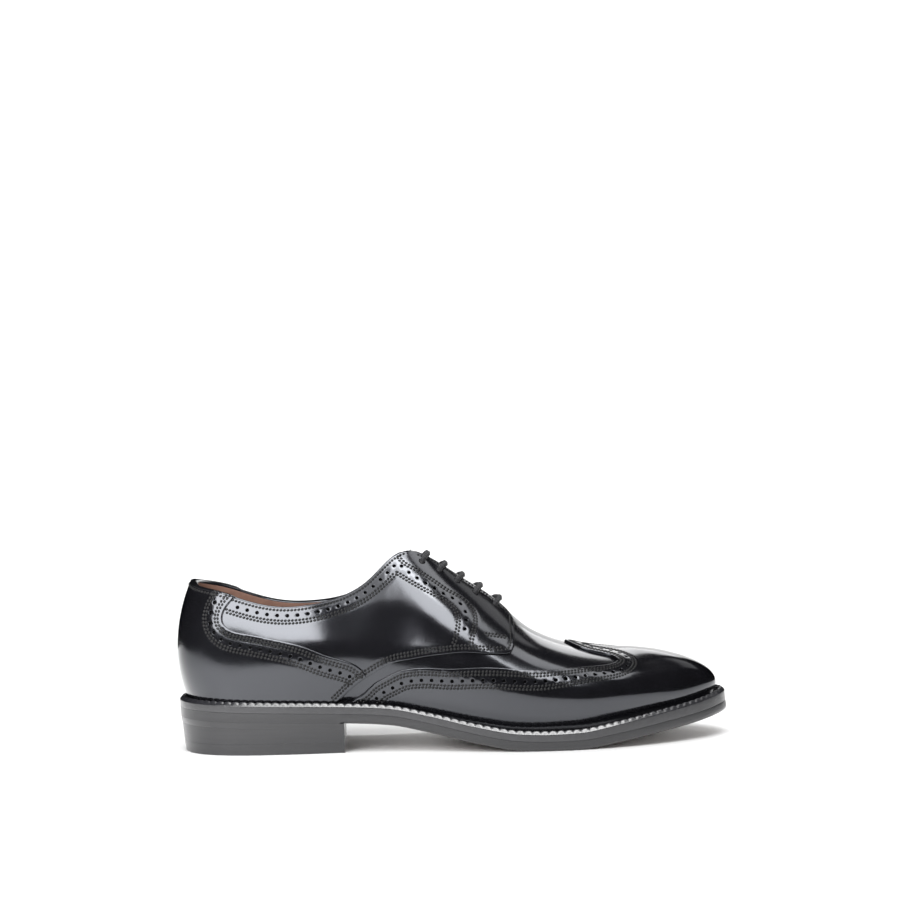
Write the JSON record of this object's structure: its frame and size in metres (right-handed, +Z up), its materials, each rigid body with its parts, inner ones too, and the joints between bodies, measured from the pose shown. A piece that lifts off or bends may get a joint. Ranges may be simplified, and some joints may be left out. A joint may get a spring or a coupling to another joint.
{
  "type": "full brogue derby shoe",
  "caption": "Men's right dress shoe with open lacing, winged toe cap, punched edges, welted sole and stacked heel.",
  "frame": {"origin": "centre of the bounding box in plan, on the floor under the heel and the ball", "axes": "+X to the toe, +Z up, -Y to the outer side of this right shoe"},
  "size_m": [0.3066, 0.102, 0.1086],
  "materials": {
    "calf": "black polished calf",
    "lining": "tan matt lining leather",
    "welt": "black waxed, stitched and wheeled",
    "sole_edge": "black satin inked edge",
    "lace": "black waxed round cord"
  },
  "bodies": {
    "root": {"upper": "calf", "wing_cap": "calf", "quarter_lateral": "calf", "quarter_medial": "calf", "heel_foxing": "calf", "tongue": "calf", "insole": "lining", "welt": "welt", "outsole": "sole_edge", "heel_lift_1": "sole_edge", "heel_lift_2": "sole_edge", "heel_top_piece": "sole_edge", "lace_bar_1": "lace", "lace_bar_2": "lace", "lace_bar_3": "lace", "lace_bar_4": "lace", "lace_bar_5": "lace"}
  },
  "joints": []
}
